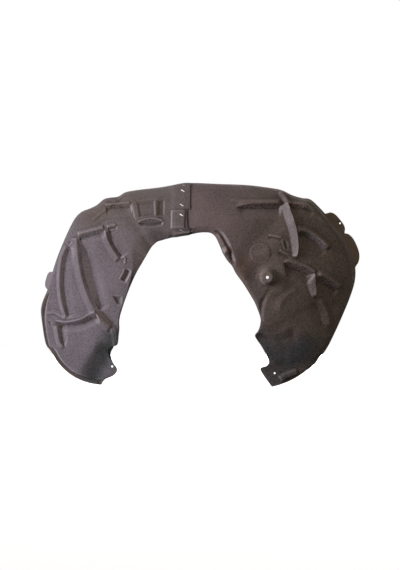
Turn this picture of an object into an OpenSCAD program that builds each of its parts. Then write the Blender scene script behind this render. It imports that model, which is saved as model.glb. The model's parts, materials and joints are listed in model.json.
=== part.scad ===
// Wheel arch liner of moulded needle felt, in two sections lapped and stapled at the crown.
// X runs along the car, Z up, Y from the suspension side out to the wheel opening.
// The origin is the centre of the fixing hole, on the outer face of its boss.

/* [Arch] */
// Length of the arch between its outermost shoulders
arch_w = 941; // [850:10:1050]
// Height of the arch from the lowest tip to the crown
arch_h = 609; // [550:10:700]
// Depth of the barrel from the fixing face to the rim
barrel_depth = 285; // [230:5:340]
// Turned edge all along the rim
rim_lip = 3; // [1:0.5:8]

/* [Felt] */
// Thickness of the pressed felt
felt_t = 3; // [2:0.5:4]
// Depth of the ribs and recesses, 1 is as moulded
relief_gain = 1; // [0.5:0.1:1.3]

/* [Seam] */
// Number of mesh columns over which the sections lap
lap_columns = 3; // [2:1:4]
// Gap between the lapped sheets
lap_clear = 0.3; // [0.2:0.1:1]
// Lower end of the step in the seam's edge
step_low = 146; // [140:1:160]
// Upper end of the step in the seam's edge
step_high = 203; // [180:1:215]

/* [Fixings] */
// Diameter of the hole in the boss
bore_d = 9; // [5:0.5:14]
// Radius of the boss's flat top
boss_r = 17; // [12:0.5:20]
// How far the boss widens from its top to its foot
boss_taper = 11; // [6:0.5:14]
// Diameter of the holes in the fixing tabs
tab_hole_d = 5.5; // [4:0.5:10]

/* [Staples] */
// Length over the crown of a staple
staple_l = 12.7; // [9:0.1:15]
// Width of the staple wire
staple_w = 2.2; // [1:0.1:3]
// Thickness of the staple wire
staple_t = 0.9; // [0.5:0.1:1.2]
// Length of each clinched end
staple_clinch = 4.5; // [3:0.5:5]
// Gap between the wire and the felt
staple_clear = 0.15; // [0.1:0.05:0.4]

/* [Hidden] */

felt = "#6a6067";
felt_shade = "#564a45";
steel = "#c9c4be";

// The layout below is drawn at this size and stretched to the arch.
LAYOUT = [941, 609];
stretch = [arch_w / LAYOUT[0], arch_h / LAYOUT[1]];

// Stations are numbered along the arch from the front tip, 0, to the rear tip, 54.75.
LAST = 54.75;
// Edge of the cut-out round the suspension: station, x, z.
inner_edge = [
    [0, -496, -321], [1, -486, -303], [2, -461, -290], [3, -449, -272], [4, -460, -252], [5, -465, -228],
    [6, -453, -207], [7, -445, -185], [8, -441, -155], [9, -441, -128], [10, -433, -95], [12, -412, -36],
    [14, -392, 10], [16, -374, 42], [18, -360, 66], [20, -346, 89], [21, -338, 98], [22, -328, 106],
    [23, -316, 110], [24, -298, 115], [26, -255, 123], [27, -229, 127], [28, -210, 132], [29, -189, 134],
    [30, -169, 132], [31, -155, 121], [32, -144, 99], [33, -133, 73], [34, -120, 51], [35, -105, 33],
    [36, -94, 12], [38, -71, -20], [40, -47, -59], [41, -36, -79], [42, -28, -101], [43, -23, -123],
    [44, -22, -143], [45, -28, -160], [46, -37, -173], [47, -31, -188], [48, -18, -206], [50, 5, -249],
    [51, 0, -264], [52, -18, -271], [53, -16, -284], [54.75, 15, -328]
];
// Outermost line of the shoulder, where the face has turned into the barrel: station, x, z.
shoulder = [
    [0, -649, -216], [1, -660, -205], [2, -667, -182], [4, -676, -122], [5, -677, -95], [6, -672, -71],
    [8, -655, -24], [10, -639, 34], [12, -613, 103], [14, -580, 172], [15, -558, 195], [16, -531, 206],
    [17, -511, 216], [18, -490, 233], [19, -471, 238], [20, -447, 241], [21, -427, 253], [22, -399, 259],
    [24, -321, 268], [25, -282, 275], [26, -249, 281], [27, -228, 281], [28, -207, 281], [30, -141, 278],
    [32, -57, 275], [34, 21, 265], [35, 48, 258], [36, 75, 244], [37, 105, 235], [38, 129, 231],
    [39, 152, 211], [40, 179, 181], [41, 205, 148], [42, 229, 117], [43, 248, 82], [44, 261, 43],
    [45, 264, 1], [46, 256, -39], [48, 227, -114], [50, 187, -200], [51, 168, -231], [52, 154, -244],
    [53, 142, -262], [54, 133, -271], [54.75, 123, -277]
];
// Cross-sections: station, width and depth of the return at the cut-out, slope of the face beside it
// and at the shoulder, angle where the shoulder's arc starts and its radius, draft of the barrel,
// how far the section stands back, and how far its rim stops short of the full depth.
sections = [
    [0, 0.5, 0, 4, 10, 55, 14, 3, 16, 70],
    [4, 0.5, 1, 5, 14, 55, 14, 4, 4, 45],
    [6, 3, 9, 6, 18, 55, 14, 5, 0, 23],
    [9, 4, 14, 6, 22, 48, 18, 7, 0, 5],
    [12, 4, 14, 6, 24, 34, 26, 7, 0, 0],
    [14.5, 16, 9, 6, 24, 30, 26, 7, 0, 0],
    [17, 46, 8, 8, 24, 32, 26, 7, 0, 0],
    [20, 38, 7, 8, 28, 38, 28, 7, 0, 0],
    [24, 25, 10, 8, 32, 40, 34, 7, 0, 0],
    [30, 17, 8, 8, 34, 38, 46, 7, 0, 0],
    [34, 14, 6, 8, 34, 38, 46, 8, 0, 0],
    [38, 12, 6, 8, 34, 38, 40, 10, 0, 0],
    [42, 6, 6, 9, 38, 44, 36, 12, 0, 0],
    [46, 1, 1, 10, 40, 44, 40, 12, 4, 7],
    [50, 0.5, 0, 9, 34, 38, 38, 10, 18, 23],
    [54.75, 0.5, 0, 6, 24, 30, 30, 8, 42, 60]
];
// Bow of each end edge: station and height.
end_bow = [[0, 27], [2.5, 9], [4.5, 0], [52, 0], [54.75, -7]];
// Fixing tabs on the rim: first and last station, and reach.
rim_tabs = [[7.3, 9.25, 15], [39.9, 41.8, 24], [41.9, 44.4, 23]];
// How far the face stands behind the top of the boss at the cut-out.
FACE_BACK = 10;

// Walls pressed into the face: crest line, foot line, height, run-out above and below, length over which
// each end fades, and share of the height that stands up. The high side is on the left of the lines.
walls = [
    // Long curved steps down the front leg
    [[[-441, 52], [-462, 82], [-477, 111], [-483, 141]], [[-433, 61], [-452, 86], [-465, 111], [-470, 145]],
     12, 22, 34, 8, 5, 0.5],
    [[[-466, -153], [-486, -135], [-509, -110], [-528, -78], [-545, -36], [-555, 6], [-564, 57], [-571, 111]],
     [[-458, -140], [-477, -121], [-498, -96], [-514, -68], [-529, -32], [-539, 4], [-549, 54], [-557, 109]],
     14, 24, 46, 8, 5, 0.5],
    [[[-600, -122], [-610, -95], [-619, -53], [-622, -2], [-616, 57], [-599, 99]],
     [[-592, -122], [-599, -97], [-607, -57], [-611, -8], [-606, 46], [-594, 90]], 9, 14, 26, 6, 12, 0.5],
    // Upper edges of the panels between them
    [[[-567, 128], [-526, 139], [-488, 148]], [[-562, 118], [-526, 127], [-486, 136]], 11, 14, 20, 3, 3, 0.5],
    [[[-480, 150], [-466, 154], [-448, 156]], [[-480, 141], [-463, 147], [-446, 151]], 7, 10, 14, 4, 8, 0.5],
    [[[-388, 163], [-368, 172], [-341, 176], [-317, 170], [-308, 167]],
     [[-388, 161], [-366, 160], [-341, 160], [-318, 164], [-306, 165]], 10, 6, 22, 10, 8, 0.25],
    [[[-457, 225], [-440, 241]], [[-452, 222], [-435, 238]], 3, 12, 12, 3, 3, 0.5],
    // Cross step low on the front leg, its drop and the wedge below it
    [[[-662, -110], [-640, -106], [-622, -114], [-601, -123], [-560, -118], [-520, -102]],
     [[-662, -114], [-640, -110], [-622, -118], [-601, -127], [-560, -122], [-518, -106]], 3, 12, 10, 6, 4, 0.5],
    [[[-640, -128], [-603, -135], [-555, -126], [-515, -108], [-509, -104]],
     [[-640, -130], [-603, -139], [-550, -146], [-511, -128], [-503, -123]], 17, 8, 22, 34, 3, 0.35],
    [[[-606, -209], [-620, -196], [-627, -166], [-631, -142]], [[-604, -208], [-610, -196], [-614, -171], [-617, -143]],
     10, 16, 18, 10, 6, 0.5],
    // Gutter inside the outline of the front leg
    [[[-648, -40], [-658, -70], [-663, -99], [-664, -129], [-660, -162], [-651, -202], [-637, -212], [-618, -243],
      [-595, -268], [-567, -287], [-534, -298], [-505, -303], [-488, -303]],
     [[-651, -41], [-661, -71], [-666, -99], [-667, -129], [-663, -163], [-654, -204], [-639, -215], [-620, -246],
      [-597, -271], [-568, -290], [-535, -301], [-505, -306], [-488, -306]], 4, 10, 20, 20, 12, 0],
    // Slot beside the cut-out, and the hollow down to the front tip
    [[[-441, -7], [-432, 11], [-424, 28]], [[-430, -14], [-420, 4], [-412, 22]], 11, 5, 8, 3, 3, 0.2],
    [[[-569, -302], [-545, -258], [-518, -215], [-500, -172]], [[-515, -302], [-490, -250], [-465, -203], [-452, -164]],
     15, 50, 70, 24, 34, 0.25],
    // Step at the lower edge of the lap
    [[[-296, 124], [-262, 131], [-228, 136], [-220, 137]], [[-296, 120], [-262, 127], [-228, 132], [-220, 133]],
     5, 6, 10, 4, 3, 0.4],
    // Step under the crown of the rear section, on both sides of the long rib
    [[[-98, 211], [-60, 219], [-10, 222], [42, 222]], [[-98, 209], [-56, 209], [7, 209], [44, 212]],
     13, 20, 34, 30, 3, 0.5],
    [[[66, 222], [105, 221], [128, 214], [151, 200]], [[66, 213], [105, 209], [130, 204], [151, 197]],
     9, 12, 30, 5, 14, 0.5],
    // Long rib down the rear section and its head at the shoulder
    [[[56, 226], [62, 206], [74, 177], [83, 143], [87, 109], [88, 81], [82, 54]],
     [[40, 224], [46, 202], [58, 178], [70, 149], [76, 118], [78, 88], [73, 64]], 16, 7, 14, 13, 8, 0.95],
    [[[40, 262], [56, 238], [68, 218]], [[26, 258], [44, 236], [56, 214]], 8, 12, 16, 8, 3, 0.9],
    // Curved steps of the rear section, and the short rib between the lower two
    [[[92, 139], [117, 137], [145, 123], [170, 103], [189, 84]], [[94, 128], [116, 126], [141, 110], [164, 90], [184, 68]],
     13, 10, 34, 3, 16, 0.3],
    [[[48, 45], [71, 46], [100, 38], [133, 24], [150, 13]], [[48, 43], [69, 31], [93, 24], [122, 12], [140, 3]],
     15, 12, 40, 10, 10, 0.25],
    [[[146, 10], [179, -1], [207, -18], [226, -34]], [[148, -4], [174, -17], [198, -31], [220, -46]],
     13, 10, 38, 10, 16, 0.3],
    [[[140, 4], [140, -12], [141, -36], [145, -64]], [[124, 4], [123, -12], [127, -38], [137, -64]],
     11, 7, 14, 9, 16, 0.95],
    // Small steps above the boss
    [[[3, 126], [24, 123], [46, 117]], [[3, 122], [24, 119], [46, 113]], 4, 9, 12, 4, 4, 0.5],
    [[[54, 82], [47, 110]], [[60, 82], [53, 111]], 5, 6, 8, 4, 4, 0.4],
    [[[36, 82], [72, 64]], [[34, 77], [70, 57]], 5, 8, 12, 5, 8, 0.5],
    // Soft steps towards the rear tip
    [[[155, -62], [168, -86], [180, -112], [188, -154]], [[138, -68], [153, -94], [163, -118], [171, -156]],
     7, 22, 34, 16, 18, 0.6],
    [[[-34, -161], [-10, -166], [20, -171], [49, -162], [83, -146]], [[-30, -168], [-10, -176], [18, -187], [49, -184], [86, -170]],
     5, 26, 70, 16, 24, 0.2]
];
// Ribs and grooves: line, height, half width of the top and of the foot, length over which each end fades.
ribs = [
    [[[-437, 55], [-430, 63], [-424, 54], [-425, 40]], 2.2, 0.5, 4.5, 4, 5],
    [[[-601, 106], [-595, 96], [-580, 106]], 1.6, 0.5, 4, 3, 5],
    [[[-463, -146], [-455, -175], [-452, -210]], 4, 4, 12, 10, 8],
    [[[-652, -36], [-669, -70], [-676, -99], [-676, -129], [-671, -162], [-661, -204], [-647, -218], [-626, -254],
      [-600, -279], [-567, -303], [-534, -314], [-505, -318]], 5, 1, 11, 20, 8],
    [[[32, -112], [35, -89], [46, -66], [68, -47], [94, -32]], 2.5, 1, 16, 20, 15],
    [[[80, -140], [78, -190]], -4, 1, 18, 14, 14],
    [[[46, -232], [47, -272]], -4, 1, 20, 18, 14],
    [[[36, -308], [53, -297], [74, -289], [96, -283]], 6, 5, 14, 8, 12],
    [[[-21, -143], [-19, -90], [-6, -54], [12, -27]], -4, 1, 10, 15, 10],
    [[[-162, 141], [-140, 130], [-126, 111], [-115, 88], [-107, 62], [-99, 34]], -6, 1, 8, 16, 16],
    [[[-114, 64], [-103, 49]], -4, 1, 9, 5, 5],
    [[[-115, 233], [-56, 229], [-10, 226], [36, 226]], 2, 1, 9, 10, 4],
    [[[150, 186], [213, 141], [246, 100]], 2.5, 1, 10, 20, 20]
];
// Recesses with flat floors: corners clockwise, depth, and width of the wall at each side.
recesses = [
    [[[-494, 215], [-405, 224], [-393, 165], [-517, 156]], 8, [6, 9, 16, 26]],
    [[[-392, 227], [-337, 234], [-334, 183], [-384, 177]], 5, [6, 8, 9, 8]],
    [[[-331, 230], [-309, 232], [-309, 184], [-332, 182]], 3.5, [9, 10, 9, 9]],
    [[[-662, -126], [-643, -131], [-650, -150]], 3, [6, 6, 6]],
    [[[-464, -54], [-433, -56], [-435, -84], [-450, -82]], 7, [6, 10, 12, 9]],
    // The raised box over the seam
    [[[-288, 202], [-238, 202], [-235, 143], [-289, 143]], -4, [7, 5, 6, 7]]
];
// Round pads: centre, radius, height and width of the wall.
pads = [
    [[-22, 72], 33, 1.2, 6],
    [[-122, 80], 16, 9, 13]
];
// Run of the rounded corner at the top and foot of every wall.
CORNER = 3;
// A wall is never narrower than this.
LEAST_WALL = 9;
// Parts into which the curve between two points of a line is cut.
SMOOTH_PARTS = 2;
// The face is measured over these stations about its own, so corners of the cut-out don't crease it.
STEADY = [-2, -1, 0, 1, 2];

// The boss stands on a flat patch of the face, given by its depth and its slopes along x and z.
BOSS_SEAT = [24, 0.17, 0.2];
PATCH_FLAT = 38;
PATCH_END = 78;
// The foot of the boss ends this far inside the thickness of the felt.
FOOT_BURY = 0.7;

// Holes in the tabs: x, z and the depth about which the cut is centred. The last one is at the rim.
tip_hole = [23, -287, 60];
toe_hole = [-463, -266, 45];
rim_hole = [230, 167];
HOLE_LENGTH = 80;
HOLE_SIDES = 32;

// Columns of the mesh along the arch, and its rows through the cross-section.
COLUMNS = 91;
PITCH = LAST / COLUMNS;
SEAM_STATION = 27;
LIP_ROWS = 1;
FACE_ROWS = 23;
ARC_ROWS = 3;
BARREL_ROWS = 1;
// A row is its stage (0 return, 1 face, 2 arc, 3 barrel, 4 rim lip) plus the way through it.
rows = concat(
    [for (i = [0:LIP_ROWS - 1]) i / LIP_ROWS],
    [for (i = [0:FACE_ROWS - 1]) 1 + i / FACE_ROWS],
    [for (i = [0:ARC_ROWS - 1]) 2 + i / ARC_ROWS],
    [for (i = [0:BARREL_ROWS - 1]) 3 + i / BARREL_ROWS],
    [4, 5]
);
seam_column = round(SEAM_STATION / PITCH);
lap_column = seam_column - lap_columns;

// Staples through the lap: station and row of the middle of each crown.
staple_places = [[25.95, 0.85], [25.85, 1.33], [25.85, 1.58], [25.9, 1.93], [26, 2.3]];
STAPLE_SLANT = -42;
// Shares of the wire's thickness above the felt, and below it at the clinched ends.
STAPLE_PROUD = 0.7;
STAPLE_UNDER = 0.6;

function clamp(t, low, high) = min(max(t, low), high);
function ease(t) = let (c = clamp(t, 0, 1)) c * c * (3 - 2 * c);
function soft(d, r) = d <= -r ? 0 : d >= r ? d : pow(d + r, 2) / (4 * r);
function ramp(d, w) = let (r = min(CORNER, w / 2)) (soft(d + w / 2, r) - soft(d - w / 2, r)) / w;
function mix(a, b, t) = a + (b - a) * t;
function total(v) = len(v) == 0 ? 0 : v * [for (i = v) 1];
function unit(v) = v / norm(v);

// Smooth curve through rows of [station, values...], read at station u.
function gradient(table, k) =
    k == 0 || k == len(table) - 1 ? 0 * table[k] : (table[k + 1] - table[k - 1]) / (table[k + 1][0] - table[k - 1][0]);
function curve(table, u) =
    let (
        k = clamp(len([for (r = table) if (r[0] <= u) 1]) - 1, 0, len(table) - 2),
        w = table[k + 1][0] - table[k][0],
        s = (u - table[k][0]) / w,
        s2 = s * s,
        s3 = s2 * s
    )
    (2 * s3 - 3 * s2 + 1) * table[k] + (s3 - 2 * s2 + s) * w * gradient(table, k)
    + (3 * s2 - 2 * s3) * table[k + 1] + (s3 - s2) * w * gradient(table, k + 1);

// The same path with more points, bent smoothly through the given ones.
function smooth(path) =
    let (table = [for (i = [0:len(path) - 1]) [i, path[i][0], path[i][1]]])
    [for (k = [0:(len(path) - 1) * SMOOTH_PARTS]) let (q = curve(table, k / SMOOTH_PARTS)) [q[1], q[2]]];
smooth_walls = [for (f = walls) [for (i = [0:len(f) - 1]) i < 2 ? smooth(f[i]) : f[i]]];
smooth_ribs = [for (f = ribs) [for (i = [0:len(f) - 1]) i < 1 ? smooth(f[i]) : f[i]]];

// Signed distance of point p from a path, how far along it lies, and the path's length.
function path_lengths(path) = [for (i = [0:len(path) - 2]) norm(path[i + 1] - path[i])];
function on_path(path, p) =
    let (
        lengths = path_lengths(path),
        hits = [for (i = [0:len(path) - 2])
            let (
                d = path[i + 1] - path[i],
                t = (p - path[i]) * d / pow(lengths[i], 2),
                e = p - path[i] - clamp(t, 0, 1) * d
            )
            [norm(e), sign(d[0] * e[1] - d[1] * e[0]), i, t * lengths[i]]],
        nearest = min([for (h = hits) h[0]]),
        hit = [for (h = hits) if (h[0] == nearest) h][0],
        before = hit[2] == 0 ? 0 : total([for (i = [0:hit[2] - 1]) lengths[i]])
    )
    [hit[0] * hit[1], before + hit[3], total(lengths)];
function end_fade(way, fade_in, fade_out) = ease(way[1] / fade_in) * ease((way[2] - way[1]) / fade_out);

function near(path, p, reach) =
    p[0] > min([for (q = path) q[0]]) - reach && p[0] < max([for (q = path) q[0]]) + reach
    && p[1] > min([for (q = path) q[1]]) - reach && p[1] < max([for (q = path) q[1]]) + reach;

function wall_height(f, p) =
    let (
        crest = on_path(f[0], p),
        foot = on_path(f[1], p),
        side = ramp((crest[0] + foot[0]) / 2, max(foot[0] - crest[0], LEAST_WALL)),
        up = f[2] * f[7] * (1 - ease(max(crest[0], 0) / f[3])),
        down = f[2] * (f[7] - 1) * (1 - ease(max(-foot[0], 0) / f[4]))
    )
    mix(down, up, side) * end_fade(crest, f[5], f[6]);
function rib_height(f, p) =
    let (way = on_path(f[0], p))
    f[1] * (1 - ramp(abs(way[0]) - (f[2] + f[3]) / 2, f[3] - f[2])) * end_fade(way, f[4], f[5]);
function recess_height(f, p) =
    let (
        n = len(f[0]),
        shares = [for (i = [0:n - 1])
            let (
                d = f[0][(i + 1) % n] - f[0][i],
                e = p - f[0][i],
                inside = (d[1] * e[0] - d[0] * e[1]) / norm(d)
            )
            ramp(inside - f[2][i] / 2, f[2][i])]
    )
    -f[1] * min(shares);
function pad_height(f, p) = f[2] * ramp(f[1] - norm(p - f[0]) - f[3] / 2, f[3]);

// Height of the moulded relief at a point of the layout.
function relief(p) = relief_gain * (
    total([for (f = smooth_walls) if (near(concat(f[0], f[1]), p, max(f[3], f[4]))) wall_height(f, p)])
    + total([for (f = smooth_ribs) if (near(f[0], p, f[3])) rib_height(f, p)])
    + total([for (f = recesses) if (near(f[0], p, 0)) recess_height(f, p)])
    + total([for (f = pads) if (near([f[0]], p, f[1])) pad_height(f, p)])
);

function tab_reach(u) = total([for (t = rim_tabs) if (u > t[0] && u < t[1])
    t[2] * sqrt(1 - pow(abs(2 * (u - t[0]) / (t[1] - t[0]) - 1), 3))]);

// Place of a line of the layout at station u.
function spot(table, u) = let (q = curve(table, u)) [q[1] * stretch[0], q[2] * stretch[1]];
function face_width(u) = norm(spot(shoulder, u) - spot(inner_edge, u));
function steady_width(u) = total([for (k = STEADY) face_width(clamp(u + k, 0, LAST))]) / len(STEADY);

// Everything about station u that its rows share.
function station(u) =
    let (
        inner = spot(inner_edge, u),
        outer = spot(shoulder, u),
        width = norm(outer - inner),
        s = curve(sections, u),
        back = s[8] + (steady_width(u) - width) * (tan(s[3]) + tan(s[4])) / 2
    )
    [inner, unit(outer - inner), width, [for (i = [0:len(s) - 1]) i == 8 ? back : s[i]], u];

// Way across the section, depth, and lean of the surface's normal, for one row of a station.
function profile(st, row) =
    let (
        stage = min(floor(row), 4),
        f = row - stage,
        width = st[2],
        s = st[3],
        u = st[4],
        radius = s[6],
        face_end = width - radius * (1 - sin(s[5])),
        face_w = face_end - s[1],
        face_depth = face_w * (tan(s[3]) + tan(s[4])) / 2,
        along = face_w * f,
        slope = mix(tan(s[3]), tan(s[4]), f),
        angle = mix(s[5], 90, f),
        arc_depth = face_depth + radius * cos(s[5]),
        rim_depth = barrel_depth - s[9] - FACE_BACK - s[8],
        return_lean = -atan2(s[2], s[1])
    )
    stage == 0 ? [s[1] * f, s[2] * (1 - f), return_lean]
    : stage == 1 ? [s[1] + along, tan(s[3]) * along + (tan(s[4]) - tan(s[3])) * along * f / 2,
        f == 0 ? (atan(slope) + return_lean) / 2 : atan(slope)]
    : stage == 2 ? [face_end + radius * (sin(angle) - sin(s[5])), face_depth + radius * (cos(s[5]) - cos(angle)),
        f == 0 ? (s[4] + s[5]) / 2 : angle]
    : stage == 3 ? [width + s[7] * f, mix(arc_depth, rim_depth, f), 87]
    : [width + s[7] + (rim_lip + tab_reach(u)) * f, rim_depth, 45 * (1 - f)];

// Outer face, wheel face and relief of the felt at one row of a station, lifted off the mould by lift.
function felt_point(st, row, lift) =
    let (
        q = profile(st, row),
        s = st[3],
        d = st[1],
        width = st[2],
        share = clamp(q[0] / width, 0, 1),
        bow = curve_line(end_bow, st[4]) * 4 * share * (1 - share),
        flat = st[0] + d * q[0] + [-d[1], d[0]] * bow,
        layout = [flat[0] / stretch[0], flat[1] / stretch[1]],
        fade = row < 2 ? 1 : 1 - ease(row - 2),
        raise = fade > 0 ? relief(layout) * fade : 0,
        base = FACE_BACK + q[1] + s[8],
        patch = row < 3 ? ease((PATCH_END - norm(flat)) / (PATCH_END - PATCH_FLAT)) : 0,
        seat = BOSS_SEAT[0] + BOSS_SEAT[1] * flat[0] + BOSS_SEAT[2] * flat[1]
    )
    [for (off = [0, -felt_t])
        let (
            h = raise + lift + off,
            side = flat + d * h * sin(q[2]),
            free = [side[0], base - h * cos(q[2]), side[1]],
            seated = [flat[0], seat - off * norm([1, BOSS_SEAT[1], BOSS_SEAT[2]]), flat[1]]
        )
        mix(free, seated, patch)];
function curve_line(table, u) = lookup(u, table);

// Lift of the front section over the rear one, from the joggle just before the lap.
function lap_lift(column) = (felt_t + lap_clear) * clamp(column - lap_column + 1, 0, 1);

// A closed sheet of felt over the columns first to last, with the cells that keep() names left out.
module felt_sheet(first, last, lapped, stepped) {
    m = last - first;
    n = len(rows) - 1;
    stations = [for (c = [first:last]) station(c * PITCH)];
    grid = [for (i = [0:m]) [for (r = rows)
        felt_point(stations[i], r, lapped ? lap_lift(first + i) : 0)]];
    outer = [for (column = grid) for (p = column) p[0]];
    wheel = [for (column = grid) for (p = column) p[1]];
    count = len(outer);
    function at(i, j) = i * (n + 1) + j;
    function kept(i, j) = i >= 0 && i < m && j >= 0 && j < n
        && !(stepped && i == m - 1 && outer[at(i, j)][2] > step_low && outer[at(i, j + 1)][2] < step_high
            && rows[j] < 2);
    // Each cell is split along the diagonal whose ends lie at the more equal depth.
    function falling(i, j) =
        abs(outer[at(i, j)][1] - outer[at(i + 1, j + 1)][1]) > abs(outer[at(i + 1, j)][1] - outer[at(i, j + 1)][1]) + 0.3;
    function halves(i, j) =
        let (a = at(i, j), b = at(i + 1, j), c = at(i + 1, j + 1), d = at(i, j + 1))
        falling(i, j) ? [[a, d, b], [b, d, c]] : [[a, c, b], [a, d, c]];
    function edge(a, b) = [[a, b + count, b], [a, a + count, b + count]];
    faces = [for (i = [0:m - 1]) for (j = [0:n - 1]) if (kept(i, j)) each concat(
        halves(i, j),
        [for (t = halves(i, j)) [t[2], t[1], t[0]] + [count, count, count]],
        kept(i, j - 1) ? [] : edge(at(i + 1, j), at(i, j)),
        kept(i, j + 1) ? [] : edge(at(i, j + 1), at(i + 1, j + 1)),
        kept(i - 1, j) ? [] : edge(at(i, j), at(i, j + 1)),
        kept(i + 1, j) ? [] : edge(at(i + 1, j + 1), at(i + 1, j))
    )];
    polyhedron(points = concat(outer, wheel), faces = faces);
}

// The boss is a tapered cup whose foot is cut off inside the felt that it grows out of.
BOSS_BEYOND = 30;
boss_reach = BOSS_SEAT[0] + BOSS_BEYOND;
CUTTER_SIZE = 300;
// Thickness of the cup's wall against the felt's, and how far the felt is cut away inside its outline.
CUP_WALL = 0.75;
CUP_CUT = 0.4;
module boss_cone(shrink) {
    rotate([-90, 0, 0]) {
        cylinder(h = boss_reach, r1 = boss_r - shrink, r2 = boss_r + boss_taper * boss_reach / BOSS_SEAT[0] - shrink, $fn = 64);
    }
}

module behind_face(back) {
    n = unit([-BOSS_SEAT[1], 1, -BOSS_SEAT[2]]);
    translate([0, BOSS_SEAT[0] + back * norm([1, BOSS_SEAT[1], BOSS_SEAT[2]]), 0]) {
        rotate(a = acos(n[1]), v = cross([0, 1, 0], n)) {
            translate([-CUTTER_SIZE / 2, 0, -CUTTER_SIZE / 2]) {
                cube(CUTTER_SIZE);
            }
        }
    }
}

module boss() {
    difference() {
        boss_cone(0);
        translate([0, felt_t, 0]) {
            boss_cone(felt_t * CUP_WALL);
        }
        behind_face(felt_t - FOOT_BURY);
    }
}

module hole(place, d) {
    translate([place[0] * stretch[0], place[2] - HOLE_LENGTH / 2, place[1] * stretch[1]]) {
        rotate([-90, 0, 0]) {
            cylinder(h = HOLE_LENGTH, d = d, $fn = HOLE_SIDES);
        }
    }
}

// Stands children on the felt of the lap: x across the crown of the staple, z out of the felt.
module on_lap(place) {
    st = station(place[0]);
    lift = felt_t + lap_clear;
    here = felt_point(st, place[1], lift)[0];
    ahead = felt_point(station(place[0] + 0.1), place[1], lift)[0];
    above = felt_point(st, place[1] + 0.02, lift)[0];
    across = unit(ahead - here);
    out = unit(cross(across, above - here));
    up = cross(out, across);
    multmatrix([
        [across[0], up[0], out[0], here[0]],
        [across[1], up[1], out[1], here[1]],
        [across[2], up[2], out[2], here[2]],
        [0, 0, 0, 1]
    ]) {
        rotate([0, 0, STAPLE_SLANT]) {
            children();
        }
    }
}

// One staple, or with a grow value the room that it needs in the felt.
module staple(grow) {
    through = 2 * felt_t + lap_clear;
    proud = staple_t * STAPLE_PROUD;
    under = staple_t * STAPLE_UNDER;
    leg_x = staple_l / 2 - staple_t;
    module bar(x, z, l, h) {
        translate([x - grow, -staple_w / 2 - grow, z - grow]) {
            cube([l + 2 * grow, staple_w + 2 * grow, h + 2 * grow]);
        }
    }
    bar(-staple_l / 2, proud - staple_t, staple_l, staple_t);
    for (x = [-leg_x - staple_t, leg_x]) {
        bar(x, -through - under, staple_t, through + under + proud);
    }
    bar(-leg_x - staple_t, -through - under, staple_clinch, staple_t);
    bar(leg_x + staple_t - staple_clinch, -through - under, staple_clinch, staple_t);
}

module staple_rooms() {
    for (place = staple_places) {
        on_lap(place) {
            staple(staple_clear);
        }
    }
}

module front_section() {
    color(felt) {
        difference() {
            felt_sheet(0, seam_column, true, true);
            staple_rooms();
            hole(toe_hole, tab_hole_d);
        }
    }
}

module rear_section() {
    color(felt_shade) {
        difference() {
            union() {
                difference() {
                    felt_sheet(lap_column, COLUMNS, false, false);
                    boss_cone(felt_t * CUP_CUT);
                }
                boss();
            }
            hole([0, 0, 0], bore_d);
            staple_rooms();
            hole(tip_hole, tab_hole_d);
            hole([rim_hole[0], rim_hole[1], barrel_depth], tab_hole_d);
        }
    }
}

module seam_staples() {
    color(steel) {
        for (place = staple_places) {
            on_lap(place) {
                staple(0);
            }
        }
    }
}

front_section();
rear_section();
seam_staples();
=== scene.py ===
# %% [markdown]
# # Wheel arch liner of needle felt
# The object is the black felt shell that lines the hollow over a car's wheel. It is pressed from two
# sheets of needle felt, which lap at the crown and are stapled together there.
# The picture looks square on at the side with the ribs, so X runs along the car, Z up, and Y away from
# the viewer. The origin is the hole in the round boss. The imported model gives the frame, and everything
# below is made in metres in that same frame.

# %% Load the frame
import json
import math

import bpy
import numpy as np
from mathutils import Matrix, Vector

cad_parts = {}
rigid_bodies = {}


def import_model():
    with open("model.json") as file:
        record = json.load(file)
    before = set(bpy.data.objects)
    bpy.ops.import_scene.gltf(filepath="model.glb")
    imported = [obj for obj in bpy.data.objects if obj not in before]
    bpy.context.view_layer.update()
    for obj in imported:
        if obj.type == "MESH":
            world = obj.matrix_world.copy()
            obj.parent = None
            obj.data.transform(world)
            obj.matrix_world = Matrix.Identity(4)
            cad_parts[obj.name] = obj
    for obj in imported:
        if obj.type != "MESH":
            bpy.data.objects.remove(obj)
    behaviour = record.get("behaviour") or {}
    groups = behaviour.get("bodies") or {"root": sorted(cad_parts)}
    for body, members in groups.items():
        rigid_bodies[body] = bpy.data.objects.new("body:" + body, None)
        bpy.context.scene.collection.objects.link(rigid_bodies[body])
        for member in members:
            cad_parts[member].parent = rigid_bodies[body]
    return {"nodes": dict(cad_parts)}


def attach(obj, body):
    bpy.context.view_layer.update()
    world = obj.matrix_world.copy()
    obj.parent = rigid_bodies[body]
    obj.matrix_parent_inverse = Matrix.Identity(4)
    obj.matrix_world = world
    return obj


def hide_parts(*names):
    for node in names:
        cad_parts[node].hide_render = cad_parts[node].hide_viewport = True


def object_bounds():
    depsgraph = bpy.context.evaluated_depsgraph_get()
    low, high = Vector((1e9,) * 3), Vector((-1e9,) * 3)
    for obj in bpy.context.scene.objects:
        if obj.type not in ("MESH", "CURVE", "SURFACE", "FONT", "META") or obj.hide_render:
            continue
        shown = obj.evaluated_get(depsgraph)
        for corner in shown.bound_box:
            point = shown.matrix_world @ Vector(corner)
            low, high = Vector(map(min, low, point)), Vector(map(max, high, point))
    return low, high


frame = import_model()
cad_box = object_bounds()
scene = bpy.context.scene
print("nodes", sorted(frame["nodes"]))

# %% [markdown]
# ## The photographer's place
# The picture was taken from far back, so lines hardly run together. A camera nine metres away with a long
# lens gives that look. One pixel of the picture is three millimetres on the object, which gives the
# height of the view, and the hole in the boss gives its aim.

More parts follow.
